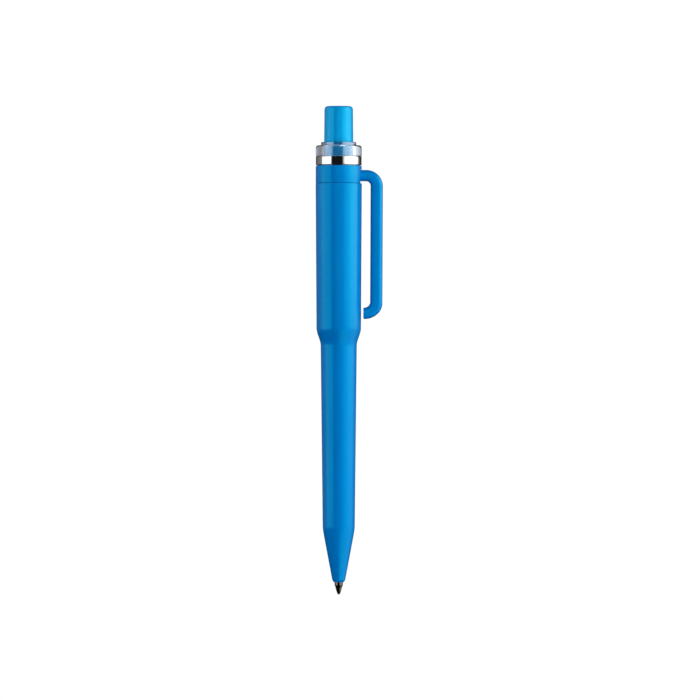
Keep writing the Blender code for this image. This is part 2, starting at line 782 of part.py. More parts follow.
def make_ink_column(finish):
    throat = HOLDER_BORE_R_INK - INK_GAP
    thread = FEED_R - INK_GAP
    outline = [
        (INK_R, INK_TOP_Z),
        (INK_R, HOLDER_TOP_Z + SEAT_GAP),
        (throat, HOLDER_TOP_Z + SEAT_GAP),
        (throat, TIP_SPIGOT_TOP_Z + SEAT_GAP),
        (thread, TIP_SPIGOT_TOP_Z + SEAT_GAP),
        (thread, INK_POINT_Z),
    ]
    return turned("ink_column", outline, finish, ring=False, sides=REFILL_SIDES)


def spring_height(turn):
    """Height of the wire's middle after so many turns: close turns at both ends."""
    bottom = SPRING_Z[0] + SPRING_WIRE_R
    top = SPRING_Z[1] - SPRING_WIRE_R
    end_rise = SPRING_END_TURNS * SPRING_END_PITCH
    active_rise = top - bottom - 2 * end_rise
    if turn <= SPRING_END_TURNS:
        return bottom + turn * SPRING_END_PITCH
    if turn <= SPRING_END_TURNS + SPRING_ACTIVE_TURNS:
        share = (turn - SPRING_END_TURNS) / SPRING_ACTIVE_TURNS
        return bottom + end_rise + share * active_rise
    last = turn - SPRING_END_TURNS - SPRING_ACTIVE_TURNS
    return top - end_rise + last * SPRING_END_PITCH


def make_return_spring(finish):
    turns = 2 * SPRING_END_TURNS + SPRING_ACTIVE_TURNS
    count = round(turns * SPRING_POINTS_PER_TURN)
    curve = bpy.data.curves.new("return_spring", "CURVE")
    curve.dimensions = "3D"
    curve.bevel_depth = SPRING_WIRE_R * MM
    curve.bevel_resolution = 1
    curve.use_fill_caps = True
    wire = curve.splines.new("POLY")
    wire.points.add(count)
    for number, point in enumerate(wire.points):
        turn = turns * number / count
        angle = math.tau * turn
        x, y = SPRING_R * math.cos(angle), SPRING_R * math.sin(angle)
        point.co = (x * MM, y * MM, spring_height(turn) * MM, 1.0)
    curve.materials.append(finish)
    made = bpy.data.objects.new("return_spring", curve)
    bpy.context.scene.collection.objects.link(made)
    return made


# ---------------------------------------------------------------- assembly

def pivot(name, place, parent=None):
    """An empty on a joint's axis, which the pieces of one moving body hang from."""
    made = bpy.data.objects.new(name, None)
    made.location = Vector(place) * MM
    bpy.context.scene.collection.objects.link(made)
    if parent:
        made.parent = parent
        made.location -= parent.matrix_world.translation
    bpy.context.view_layer.update()
    return made


def hang(pieces, parent):
    """Parent pieces to a pivot, with their origins on it and their shapes where they were."""
    offset = parent.matrix_world.translation.copy()
    for piece in pieces:
        piece.data.transform(Matrix.Translation(-offset))
        piece.parent = parent


def main():
    clear_scene()
    blue = (0.003, 0.17, 0.52)
    barrel_blue = material("barrel_blue", blue, 0.28)
    ring_blue = material("ring_blue", blue, 0.3)
    clip_blue = material("clip_blue", blue, 0.3)
    button_blue = material("button_blue", (0.005, 0.22, 0.6), 0.25)
    chrome = material("polished_chrome", (0.85, 0.86, 0.88), 0.05, metallic=1.0)
    clear = material("clear_plastic", (0.93, 0.95, 0.98), 0.04, transmission=1.0)
    sleeve_white = material("sleeve_white", (0.75, 0.76, 0.76), 0.45)
    thrust_white = material("thrust_white", (0.7, 0.72, 0.73), 0.45)
    rotor_blue = material("rotor_acetal", (0.55, 0.6, 0.66), 0.4)
    spring_steel = material("spring_steel", (0.6, 0.6, 0.62), 0.25, metallic=1.0)
    tube_steel = material("tube_steel", (0.62, 0.62, 0.64), 0.3, metallic=1.0)
    plug_blue = material("plug_blue", (0.02, 0.08, 0.4), 0.4)
    ink = material("blue_ink", (0.004, 0.008, 0.12), 0.2)
    brass = material("holder_brass", (0.75, 0.55, 0.25), 0.3, metallic=1.0)
    nickel = material("tip_nickel_silver", (0.68, 0.66, 0.62), 0.25, metallic=1.0)
    carbide = material("ball_carbide", (0.35, 0.35, 0.37), 0.15, metallic=1.0)

    pen = pivot("pen_axis", (0, 0, 0))
    rise = pivot("clip_band_axis", (0, 0, RING_BOTTOM_Z), pen)
    top = pivot("top_unit_axis", (0, 0, THREAD_BOTTOM_Z), rise)
    click = pivot("button_axis", (0, 0, BUTTON_BOTTOM_Z), top)
    index = pivot("cam_axis", (0, 0, ROTOR_CROWN_Z), click)
    flex = pivot("clip_root_axis", CLIP_PIVOT, rise)
    feed = pivot("refill_axis", (0, 0, TIP_SHANK_TOP_Z), pen)
    roll = pivot("ball_axis", (0, 0, BALL_R * math.cos(BALL_FLAT_ANGLE)), feed)

    hang([make_barrel(barrel_blue), make_return_spring(spring_steel)], pen)
    ring = make_clip_ring(ring_blue)
    clip = make_clip(clip_blue)
    hang([ring, bpy.data.objects["clip_slot"]], rise)
    hang([clip, bpy.data.objects["clip_head"]], flex)
    hang([make_guide_sleeve(sleeve_white), make_chrome_ring(chrome)], top)
    hang([make_clear_collar(clear)], top)
    hang([make_push_button(button_blue), make_thrust_tube(thrust_white)], click)
    hang([make_cam_rotor(rotor_blue)], index)
    hang([make_refill_tube(tube_steel), make_refill_plug(plug_blue)], feed)
    hang([make_tip_holder(brass), make_refill_tip(nickel), make_ink_column(ink)], feed)
    hang([make_writing_ball(carbide)], roll)


main()
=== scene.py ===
import math

import bmesh
import bpy
from mathutils import Matrix, Vector


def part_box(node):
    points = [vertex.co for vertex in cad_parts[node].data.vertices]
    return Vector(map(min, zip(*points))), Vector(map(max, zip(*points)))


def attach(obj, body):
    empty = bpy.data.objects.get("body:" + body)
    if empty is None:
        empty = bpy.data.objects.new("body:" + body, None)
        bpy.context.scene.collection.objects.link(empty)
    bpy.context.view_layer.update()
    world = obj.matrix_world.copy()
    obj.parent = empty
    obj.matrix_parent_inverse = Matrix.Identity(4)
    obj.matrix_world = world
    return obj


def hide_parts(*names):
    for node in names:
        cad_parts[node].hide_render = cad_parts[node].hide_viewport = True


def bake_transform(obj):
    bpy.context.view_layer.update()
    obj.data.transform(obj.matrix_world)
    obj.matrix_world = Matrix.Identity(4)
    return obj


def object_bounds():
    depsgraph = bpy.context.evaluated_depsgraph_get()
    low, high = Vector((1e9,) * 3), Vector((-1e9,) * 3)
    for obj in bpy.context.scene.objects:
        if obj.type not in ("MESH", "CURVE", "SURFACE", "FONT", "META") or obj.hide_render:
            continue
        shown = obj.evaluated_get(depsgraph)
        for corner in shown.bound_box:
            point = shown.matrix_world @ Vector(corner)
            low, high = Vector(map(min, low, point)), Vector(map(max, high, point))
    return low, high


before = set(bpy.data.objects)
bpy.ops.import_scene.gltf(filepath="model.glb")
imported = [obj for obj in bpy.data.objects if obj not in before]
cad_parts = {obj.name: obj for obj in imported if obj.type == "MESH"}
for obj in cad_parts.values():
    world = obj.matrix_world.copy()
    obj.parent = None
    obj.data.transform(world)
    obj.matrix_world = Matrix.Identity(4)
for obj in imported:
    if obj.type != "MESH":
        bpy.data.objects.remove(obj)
cad_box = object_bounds()

# The pen stands on its point, with its clip on the +X side. Its shapes are in millimetres
# until a mesh becomes a piece, and the studio round it is in metres.

MM = 0.001
SIDES = 128             # facets round a smooth turned piece
REFILL_SIDES = 96
POINT_SIDES = 64
SMOOTH_ANGLE = math.radians(35)
MERGE = 1e-5            # points closer than this become one
NEAR = 0.001            # numbers this close count as equal

# ------------------------------------------------------------------ studio

WHITE = (1.0, 1.0, 1.0)

PEN_SHARE = 0.6976      # the pen's share of the picture's height
PICTURE_CENTRE_X = 3.27     # millimetres from the pen's axis to the middle of the picture
PICTURE_RISE = 0.1      # millimetres from the pen's middle up to the middle of the picture
CAMERA_DISTANCE = 1.7
CAMERA_REACH = 10.0
SENSOR = 36.0

DOME_RADIUS = 3.2
DOME_SEGMENTS = 32
DOME_RINGS = 16
FLOOR_SIZE = 2.2
FLOOR_DROP = 1.6        # how far below the point the floor is
BACKDROP_LEVEL = 1.02
ROOM_LEVEL = 0.009      # light that reaches the pen from where nothing stands

WALL_RADIUS = 0.9
WALL_STEP = 2           # degrees
WALL_ROWS = 36
WALL_TOP = 0.8          # the wall's heights count from the pen's middle
WALL_BOTTOM = -0.62
LEFT_BOTTOM = -0.2      # the left softbox ends higher than the right one
WALL_FADE = 0.09
RIGHT_DIM_RISE = -0.09
RIGHT_DIM_SPAN = 0.14
RIGHT_LOW_SHARE = 0.4   # brightness that is left in the right softbox's lower half

# Brightness of what stands round the pen, by its angle from the camera to the right
WALL_LEVELS = (
    (-146, 0.16), (-128, 0.14), (-110, 0.2), (-95, 0.2), (-91, 1.2), (-80, 1.2), (-62, 1.2),
    (-41, 1.3), (-36, 0.008), (19, 0.008), (25, 0.6), (36, 1.45), (52, 1.75), (64, 2.2), (84, 1.85),
    (96, 1.75), (108, 1.3), (118, 0.3), (126, 0.1), (146, 0.06),
)
# The same for what is seen through the clear plastic and lights what is under it
CLEAR_LEVELS = (
    (-214, 0.75), (-176, 0.7), (-172, 0.32), (-146, 0.24), (-110, 0.26), (-95, 0.35), (-91, 1.4),
    (-41, 1.5), (-36, 0.1), (19, 0.1), (25, 0.8), (36, 1.7), (96, 1.9), (110, 1.2), (126, 0.7),
    (146, 0.65),
)
CLEAR_WALL_COLOUR = (0.85, 0.94, 1.1)

FILL_SIZE = (0.6, 0.7)
FILL_DISTANCE = 1.0
FILL_RISE = 0.37
LOW_FILL_SIZE = (0.5, 0.3)
LOW_FILL_DISTANCE = 0.6
LOW_FILL_RISE = -0.4


def smoothstep(t):
    t = min(max(t, 0.0), 1.0)
    return t * t * (3 - 2 * t)


def aim(thing, target):
    thing.rotation_euler = (Vector(target) - thing.location).to_track_quat("-Z", "Y").to_euler()


def pen_middle():
    low, high = cad_box
    return (low + high) / 2


def make_camera():
    low, high = cad_box
    middle = pen_middle()
    centre = Vector((PICTURE_CENTRE_X * MM, middle.y, middle.z + PICTURE_RISE * MM))
    data = bpy.data.cameras.new("camera")
    data.sensor_width = SENSOR
    data.lens = SENSOR * CAMERA_DISTANCE / ((high.z - low.z) / PEN_SHARE)
    data.clip_end = CAMERA_REACH
    camera = bpy.data.objects.new("camera", data)
    camera.location = centre - Vector((0.0, CAMERA_DISTANCE, 0.0))
    bpy.context.scene.collection.objects.link(camera)
    aim(camera, centre)
    bpy.context.scene.camera = camera


def place_round(azimuth, distance, rise):
    """A place round the pen, its azimuth counted from the camera to the right."""
    turn = math.radians(azimuth)
    return pen_middle() + Vector((distance * math.sin(turn), -distance * math.cos(turn), rise))


def fill_light(name, azimuth, level, colour, size=FILL_SIZE, distance=FILL_DISTANCE, rise=FILL_RISE):
    """A soft light that shades the pen but doesn't mirror in it."""
    data = bpy.data.lights.new(name, "AREA")
    data.color = colour
    data.shape = "RECTANGLE"
    data.size, data.size_y = size
    data.energy = level * math.pi * (distance ** 2 + rise ** 2)
    light = bpy.data.objects.new(name, data)
    light.location = place_round(azimuth, distance, rise)
    bpy.context.scene.collection.objects.link(light)
    aim(light, pen_middle())
    light.visible_camera = False
    light.visible_glossy = False
    return light


def glowing(name, level, colour=WHITE, attribute=None):
    """A material that only emits, as strongly as the level or a mesh's own attribute says."""
    made = bpy.data.materials.new(name)
    made.use_nodes = True
    nodes = made.node_tree.nodes
    nodes.clear()
    glow = nodes.new("ShaderNodeEmission")
    glow.inputs["Color"].default_value = (*colour, 1.0)
    glow.inputs["Strength"].default_value = level
    if attribute:
        reader = nodes.new("ShaderNodeAttribute")
        reader.attribute_name = attribute
        made.node_tree.links.new(reader.outputs["Fac"], glow.inputs["Strength"])
    output = nodes.new("ShaderNodeOutputMaterial")
    made.node_tree.links.new(glow.outputs["Emission"], output.inputs["Surface"])
    return made


def studio_piece(bm, name, finish):
    mesh = bpy.data.meshes.new(name)
    bm.to_mesh(mesh)
    bm.free()
    mesh.materials.append(finish)
    made = bpy.data.objects.new(name, mesh)
    bpy.context.scene.collection.objects.link(made)
    made.visible_diffuse = False
    made.visible_shadow = False
    return made


def make_backdrop():
    """A white dome and a white floor below the pen, which light nothing themselves."""
    white = glowing("studio_white", BACKDROP_LEVEL)
    bm = bmesh.new()
    bmesh.ops.create_uvsphere(
        bm, u_segments=DOME_SEGMENTS, v_segments=DOME_RINGS, radius=DOME_RADIUS,
    )
    dome = studio_piece(bm, "backdrop", white)
    dome.visible_glossy = False
    bm = bmesh.new()
    bmesh.ops.create_grid(bm, x_segments=1, y_segments=1, size=FLOOR_SIZE)
    bmesh.ops.translate(bm, verts=bm.verts, vec=(0, 0, cad_box[0].z - FLOOR_DROP))
    floor = studio_piece(bm, "floor", white)
    floor.visible_glossy = False


def wall_level(levels, azimuth):
    """The brightness at an angle, on the straight line between the two levels next to it."""
    for (start, low), (end, high) in zip(levels, levels[1:]):
        if start <= azimuth <= end:
            return low + (high - low) * (azimuth - start) / (end - start)
    return 0.0


def wall_fade(azimuth, rise):
    """The softboxes fade out at their lower ends, and the right one is dimmer in its lower half."""
    if azimuth < 0:
        return smoothstep((rise - LEFT_BOTTOM) / WALL_FADE)
    upper_share = smoothstep((rise - RIGHT_DIM_RISE) / RIGHT_DIM_SPAN)
    dimming = RIGHT_LOW_SHARE + (1 - RIGHT_LOW_SHARE) * upper_share
    return smoothstep((rise - WALL_BOTTOM) / WALL_FADE) * dimming


def make_wall(name, levels, colour=WHITE, fades=True):
    """A round wall whose brightness stands for softboxes and for the cards behind the pen."""
    bm = bmesh.new()
    level = bm.verts.layers.float.new("level")
    columns = []
    first, last = levels[0][0], levels[-1][0]
    for azimuth in range(first, last + WALL_STEP, WALL_STEP):
        column = []
        for row in range(WALL_ROWS + 1):
            rise = WALL_BOTTOM + (WALL_TOP - WALL_BOTTOM) * row / WALL_ROWS
            point = bm.verts.new(place_round(azimuth, WALL_RADIUS, rise))
            fade = wall_fade(azimuth, rise) if fades else 1.0
            point[level] = wall_level(levels, azimuth) * fade
            column.append(point)
        columns.append(column)
    for before, column in zip(columns, columns[1:]):
        for row in range(WALL_ROWS):
            bm.faces.new((before[row], column[row], column[row + 1], before[row + 1]))
    wall = studio_piece(bm, name, glowing(name, 1.0, colour, attribute="level"))
    wall.visible_camera = False
    return wall


def make_world():
    world = bpy.data.worlds.new("studio")
    world.use_nodes = True
    sky = world.node_tree.nodes["Background"]
    sky.inputs["Color"].default_value = (*WHITE, 1.0)
    sky.inputs["Strength"].default_value = ROOM_LEVEL
    bpy.context.scene.world = world


def make_studio():
    make_camera()
    make_backdrop()
    softboxes = make_wall("softboxes", WALL_LEVELS)
    softboxes.visible_transmission = False
    behind_clear = make_wall("seen_through_clear", CLEAR_LEVELS, CLEAR_WALL_COLOUR, fades=False)
    behind_clear.visible_glossy = False
    make_world()
    fill_light("front_fill", 0, 1.5, (0.98, 0.98, 1.06))
    fill_light("right_fill", 78, 2.8, (1.04, 1.14, 0.93))
    fill_light("left_fill", -102, 2.4, (1.0, 1.03, 1.0))
    back_fill = fill_light("back_fill", 180, 2.0, WHITE)
    back_fill.visible_transmission = False
    fill_light(
        "low_fill", 30, 1.6, (1.0, 1.06, 0.97), LOW_FILL_SIZE, LOW_FILL_DISTANCE, LOW_FILL_RISE,
    )
    bpy.context.scene.view_settings.view_transform = "Standard"


# ------------------------------------------------------------------ materials

EVEN = (1.0, 1.0, 1.0)
AROUND = (0.02, 0.02, 1.0)      # stretches noise into rings round the pen's axis
NOISE_RANGE = (0.3, 0.7)        # noise values that count as its lowest and highest
COLOUR_DETAIL = 4.0
ROUGHNESS_DETAIL = 5.0
BUMP_DETAIL = 2.0

BLUE = (0.0, 0.188, 0.61)
BUTTON_BLUE = (0.0, 0.31, 0.76)
BLUE_ROUGHNESS = 0.2
BLUE_IOR = 1.8          # above a real plastic's, for brighter highlights
BLUE_TINT = (0.02, 1.0, 0.74, 1.0)
BUTTON_TINT = (0.08, 1.0, 0.74, 1.0)
INNER_IOR = 1.48
CLEAR_IOR = 2.0         # above a real plastic's, for brighter edges


def shaded(colour, share):
    return tuple(share * part for part in colour)


class Paint:
    """A material built from a Principled shader and procedural textures in object space."""

    def __init__(self, name, colour, roughness, metallic=0.0, **sockets):
        self.material = bpy.data.materials.new(name)
        self.material.use_nodes = True
        self.nodes = self.material.node_tree.nodes
        self.shader = self.nodes["Principled BSDF"]
        self.shader.inputs["Base Color"].default_value = (*colour, 1.0)
        self.shader.inputs["Roughness"].default_value = roughness
        self.shader.inputs["Metallic"].default_value = metallic
        for socket, value in sockets.items():
            self.shader.inputs[socket.replace("_", " ")].default_value = value
        self.coordinates = self.nodes.new("ShaderNodeTexCoord")
        self.last_normal = None

    def link(self, start, end):
        self.material.node_tree.links.new(start, end)

    def stretched(self, scale):
        mapping = self.nodes.new("ShaderNodeMapping")
        mapping.inputs["Scale"].default_value = scale
        self.link(self.coordinates.outputs["Object"], mapping.inputs["Vector"])
        return mapping.outputs["Vector"]

    def noise(self, size_mm, detail, stretch):
        """Noise whose features are about that size, longer along an axis with a smaller stretch."""
        texture = self.nodes.new("ShaderNodeTexNoise")
        texture.inputs["Scale"].default_value = 1.0 / (size_mm * MM)
        texture.inputs["Detail"].default_value = detail
        self.link(self.stretched(stretch), texture.inputs["Vector"])
        return texture.outputs["Fac"]

    def spread(self, value, low, high):
        """Noise spread evenly from low to high."""
        spread = self.nodes.new("ShaderNodeMapRange")
        spread.inputs["From Min"].default_value = NOISE_RANGE[0]
        spread.inputs["From Max"].default_value = NOISE_RANGE[1]
        spread.inputs["To Min"].default_value = low
        spread.inputs["To Max"].default_value = high
        self.link(value, spread.inputs["Value"])
        return spread.outputs["Result"]

    def vary_colour(self, first, second, size_mm, stretch=EVEN):
        mix = self.nodes.new("ShaderNodeMix")
        mix.data_type = "RGBA"
        noise = self.noise(size_mm, COLOUR_DETAIL, stretch)
        self.link(self.spread(noise, 0.0, 1.0), mix.inputs["Factor"])
        mix.inputs["A"].default_value = (*first, 1.0)
        mix.inputs["B"].default_value = (*second, 1.0)
        self.link(mix.outputs["Result"], self.shader.inputs["Base Color"])

    def vary_roughness(self, low, high, size_mm, stretch=EVEN):
        noise = self.noise(size_mm, ROUGHNESS_DETAIL, stretch)
        self.link(self.spread(noise, low, high), self.shader.inputs["Roughness"])

    def bump(self, height_mm, size_mm, stretch=EVEN):
        bump = self.nodes.new("ShaderNodeBump")
        bump.inputs["Strength"].default_value = 1.0
        bump.inputs["Distance"].default_value = height_mm * MM
        self.link(self.noise(size_mm, BUMP_DETAIL, stretch), bump.inputs["Height"])
        if self.last_normal:
            self.link(self.last_normal, bump.inputs["Normal"])
        self.last_normal = bump.outputs["Normal"]
        self.link(self.last_normal, self.shader.inputs["Normal"])


def moulded_blue(name, colour, tint=BLUE_TINT):
    """Semi-gloss moulded plastic: faint flow lines, fine pitting and handling haze."""
    paint = Paint(name, colour, BLUE_ROUGHNESS, IOR=BLUE_IOR, Specular_Tint=tint)
    paint.vary_colour(colour, shaded(colour, 0.93), size_mm=6.0, stretch=(1.0, 1.0, 0.25))
    paint.vary_roughness(
        BLUE_ROUGHNESS - 0.04, BLUE_ROUGHNESS + 0.06, size_mm=2.5, stretch=(1.0, 1.0, 0.3),
    )
    paint.bump(height_mm=0.006, size_mm=1.6, stretch=(1.0, 1.0, 0.4))
    paint.bump(height_mm=0.0015, size_mm=0.12)
    return paint.material


def inner_plastic(name, colour, roughness=0.42):
    """Plain moulded plastic or ink of the pieces inside."""
    paint = Paint(name, colour, roughness, IOR=INNER_IOR)
    paint.vary_colour(colour, shaded(colour, 0.9), size_mm=3.0)
    paint.vary_roughness(roughness - 0.05, roughness + 0.1, size_mm=0.8)
    paint.bump(height_mm=0.004, size_mm=0.25)
    return paint.material


def turned_metal(name, colour, roughness, ring_mm=0.08):
    """Metal with the fine rings that a lathe leaves round it."""
    paint = Paint(name, colour, roughness, metallic=1.0)
    paint.vary_colour(colour, shaded(colour, 0.82), size_mm=0.6)
    paint.vary_roughness(roughness - 0.05, roughness + 0.12, size_mm=0.5, stretch=AROUND)
    paint.bump(height_mm=0.0012, size_mm=ring_mm, stretch=AROUND)
    return paint.material


def polished_chrome():
    paint = Paint("polished_chrome", (0.88, 0.88, 0.885), 0.06, metallic=1.0)
    paint.vary_roughness(0.035, 0.11, size_mm=1.2, stretch=(1.0, 1.0, 0.5))
    paint.bump(height_mm=0.0006, size_mm=0.9)
    return paint.material


def clear_plastic():
    paint = Paint(
        "clear_plastic", (0.985, 0.992, 1.0), 0.03, IOR=CLEAR_IOR, Transmission_Weight=1.0,
    )
    paint.vary_roughness(0.015, 0.06, size_mm=1.5)
    paint.bump(height_mm=0.002, size_mm=1.8)
    return paint.material


# ------------------------------------------------------------------ shapes

def box_mm(node):
    low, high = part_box(node)
    return low / MM, high / MM


def to_object(bm, name):
    """A bmesh in millimetres becomes a mesh object in metres."""
    bmesh.ops.scale(bm, verts=bm.verts, vec=(MM, MM, MM))
    mesh = bpy.data.meshes.new(name)
    bm.to_mesh(mesh)
    bm.free()
    made = bpy.data.objects.new(name, mesh)
    bpy.context.scene.collection.objects.link(made)
    return made


def shade_smooth(mesh):
    mesh.shade_smooth()
    mesh.set_sharp_from_angle(angle=SMOOTH_ANGLE)


def to_piece(bm, name, body, node, finish):
    """A closed bmesh in millimetres becomes a smooth piece that stands for the node."""
    bmesh.ops.remove_doubles(bm, verts=bm.verts, dist=MERGE)
    bmesh.ops.dissolve_degenerate(bm, edges=bm.edges, dist=MERGE)
    bmesh.ops.recalc_face_normals(bm, faces=bm.faces)
    piece = to_object(bm, name)
    shade_smooth(piece.data)
    piece.data.materials.append(finish)
    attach(piece, body)
    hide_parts(node)
    return piece


def turned_mesh(outline, ring=True, sides=SIDES, rule=None):
    """Spin an outline of (radius, height) points round the pen's axis.

    A ring's outline is closed. Any other is open, and a flat disc closes each end. A rule
    gives each point its radius and height by its angle.
    """
    bm = bmesh.new()
    points = [bm.verts.new((radius, 0.0, height)) for radius, height in outline]
    edges = [bm.edges.new(pair) for pair in zip(points, points[1:])]
    if ring:
        edges.append(bm.edges.new((points[-1], points[0])))
    bmesh.ops.spin(
        bm, geom=points + edges, cent=(0, 0, 0), axis=(0, 0, 1),
        angle=math.tau, steps=sides, use_merge=True,
    )
    bmesh.ops.remove_doubles(bm, verts=bm.verts, dist=MERGE)
    if not ring:
        open_edges = [edge for edge in bm.edges if edge.is_boundary]
        bmesh.ops.holes_fill(bm, edges=open_edges, sides=sides)
    if rule:
        for point in bm.verts:
            angle = math.atan2(point.co.y, point.co.x)
            radius, height = rule(angle, point.co.xy.length, point.co.z)
            point.co = (radius * math.cos(angle), radius * math.sin(angle), height)
    return bm


def bend(start, control, end, steps):
    """Points on the smooth curve from start to end that leaves towards the control point."""
    points = []
    for step in range(steps + 1):
        t = step / steps
        points.append(tuple(
            (1 - t) ** 2 * a + 2 * t * (1 - t) * b + t ** 2 * c
            for a, b, c in zip(start, control, end)
        ))
    return points


def rounded(outline, steps):
    """The outline, with each corner that has a third number rounded off by that length."""
    points = []
    for number, corner in enumerate(outline):
        if len(corner) == 2:
            points.append(corner)
            continue
        middle = Vector(corner[:2])
        before = Vector(outline[number - 1][:2]) - middle
        after = Vector(outline[(number + 1) % len(outline)][:2]) - middle
        start = middle + before.normalized() * min(corner[2], before.length * 0.49)
        end = middle + after.normalized() * min(corner[2], after.length * 0.49)
        points += bend(start, middle, end, steps)
    return points


def apply_boolean(target, tool, operation):
    """Cut or join for good, and remove the tool."""
    step = target.modifiers.new("boolean", "BOOLEAN")
    step.operation = operation
    step.object = tool
    bpy.context.view_layer.update()
    graph = bpy.context.evaluated_depsgraph_get()
    result = bpy.data.meshes.new_from_object(target.evaluated_get(graph))
    target.modifiers.clear()
    target.data = result
    bpy.data.objects.remove(tool, do_unlink=True)
    shade_smooth(result)


# ------------------------------------------------------------------ thread

THREAD_PITCH = 1.5
THREAD_TURNS = 3
THREAD_DEPTH = 0.4
THREAD_CORE_R = 5.0
THREAD_GAP = 0.16
THREAD_ROOT_R = THREAD_CORE_R + THREAD_DEPTH + THREAD_GAP   # of the thread in the barrel
THREAD_FADE = 0.6       # length over which the thread runs in and out
THREAD_RUNOUT = 0.3     # plain cone below the sleeve's thread
THREAD_ROWS_PER_TURN = 16
THREAD_BOTTOM_Z = 113.0


def thread_wave(angle, height):
    top = THREAD_BOTTOM_Z + THREAD_PITCH * THREAD_TURNS
    turns = (height - THREAD_BOTTOM_Z) / THREAD_PITCH - angle / math.tau
    fade = smoothstep((height - THREAD_BOTTOM_Z) / THREAD_FADE)
    fade *= smoothstep((top - height) / THREAD_FADE)
    return 0.5 + 0.5 * math.cos(math.tau * turns), fade


def thread_heights():
    rows = THREAD_TURNS * THREAD_ROWS_PER_TURN
    step = THREAD_PITCH / THREAD_ROWS_PER_TURN
    return [THREAD_BOTTOM_Z + step * row for row in range(rows + 1)]


def in_thread(radius, height, thread_radius):
    heights = thread_heights()
    return heights[0] < height < heights[-1] and abs(radius - thread_radius) < NEAR


# ------------------------------------------------------------------ barrel

SEAM_RISE = 0.07        # how far the rim stands above the barrel's box, so that the seam is thin
RIM_ROUND = 0.08
RIM_STEPS = 5
UPPER_BARREL_R = 6.46   # just above the shoulder
SHOULDER_Z = (72.2, 77.4)
SHOULDER_STEPS = 28
LOWER_BARREL_R = (4.66, 5.24)
LOWER_BARREL_Z = 19.7
KNEE = (4.65, 18.9)     # where the cone and the lower barrel would meet in a sharp edge
CONE_TOP = (4.14, 16.2)
NOSE_ROUND_TOP = (1.93, 4.45)
NOSE_ROUND_CONTROL = (1.76, 3.8)
NOSE_EDGE_R = 1.38
NOSE_STEPS = 12

NOSE_LIP = 0.05
NOSE_BORE_R = 1.34
NOSE_BORE_TOP_Z = 7.0
HOLDER_BORE_R = 1.9
SPRING_SEAT_Z = 12.0
SPRING_BORE_R = 2.45
SPRING_BORE_TOP_Z = 22.0
REFILL_BORE_R = 3.3
REFILL_BORE_TOP_Z = 73.0
CHAMBER_R = 5.1
CHAMBER_BOTTOM_Z = 76.0
MOUTH_R = 6.1
MOUTH_DEPTH = 0.9
MOUTH_EDGE = 0.1


def barrel_outside(rim_r, rim_z, nose_z):
    bottom_r, top_r = LOWER_BARREL_R
    outline = bend(
        (rim_r - RIM_ROUND, rim_z), (rim_r, rim_z), (rim_r, rim_z - RIM_ROUND), RIM_STEPS,
    )
    for step in range(SHOULDER_STEPS, -1, -1):
        share = step / SHOULDER_STEPS
        height = SHOULDER_Z[0] + share * (SHOULDER_Z[1] - SHOULDER_Z[0])
        outline.append((top_r + (UPPER_BARREL_R - top_r) * smoothstep(share), height))
    outline += bend((bottom_r, LOWER_BARREL_Z), KNEE, CONE_TOP, NOSE_STEPS)
    outline += bend(NOSE_ROUND_TOP, NOSE_ROUND_CONTROL, (NOSE_EDGE_R, nose_z), NOSE_STEPS)
    return outline


def barrel_inside(rim_z, mouth_z, nose_z):
    outline = [
        (NOSE_BORE_R, nose_z + NOSE_LIP), (NOSE_BORE_R, NOSE_BORE_TOP_Z),
        (HOLDER_BORE_R, NOSE_BORE_TOP_Z), (HOLDER_BORE_R, SPRING_SEAT_Z),
        (SPRING_BORE_R, SPRING_SEAT_Z), (SPRING_BORE_R, SPRING_BORE_TOP_Z),
        (REFILL_BORE_R, SPRING_BORE_TOP_Z), (REFILL_BORE_R, REFILL_BORE_TOP_Z),
        (CHAMBER_R, CHAMBER_BOTTOM_Z), (CHAMBER_R, THREAD_BOTTOM_Z - THREAD_FADE),
    ]
    outline += [(THREAD_ROOT_R, height) for height in thread_heights()]
    outline += [
        (THREAD_ROOT_R, mouth_z), (MOUTH_R, mouth_z), (MOUTH_R, rim_z - MOUTH_EDGE),
        (MOUTH_R + MOUTH_EDGE, rim_z),
    ]
    return outline


def barrel_rule(angle, radius, height):
    if in_thread(radius, height, THREAD_ROOT_R):
        wave, fade = thread_wave(angle, height)
        return radius - THREAD_DEPTH * (1 - wave) * fade, height
    return radius, height


def make_barrel():
    low, high = box_mm("barrel")
    rim_z = high.z + SEAM_RISE
    outline = barrel_outside(high.y, rim_z, low.z)
    outline += barrel_inside(rim_z, high.z - MOUTH_DEPTH, low.z)
    to_piece(
        turned_mesh(outline, rule=barrel_rule), "smooth_barrel", "barrel",
        "barrel", moulded_blue("barrel_blue", BLUE),
    )


# ------------------------------------------------------------------ button, collar and ring

BUTTON_TOP_R = 4.14
BUTTON_ROUND = 1.1
BUTTON_STEPS = 12
BUTTON_TAPER_Z = 127.25
BUTTON_EDGE = 0.2
BUTTON_BORE_R = 3.1
BUTTON_ROOF_Z = 139.0

COLLAR_FOOT_Z = 127.25
COLLAR_FOOT_ROUND = 0.15
COLLAR_SHOULDER_Z = 130.4
COLLAR_SHOULDER_ROUND = 0.8
COLLAR_STEP_R = 5.1
COLLAR_STEP_ROUND = 0.25
COLLAR_BORE_R = 4.4
COLLAR_SPIGOT_R = (5.2, 5.65)
COLLAR_RECESS = 0.1
COLLAR_EDGE = 0.1
COLLAR_STEPS = 8

RING_BORE_R = 5.75
RING_STEPS = 6
CHROME_EDGE = 0.22


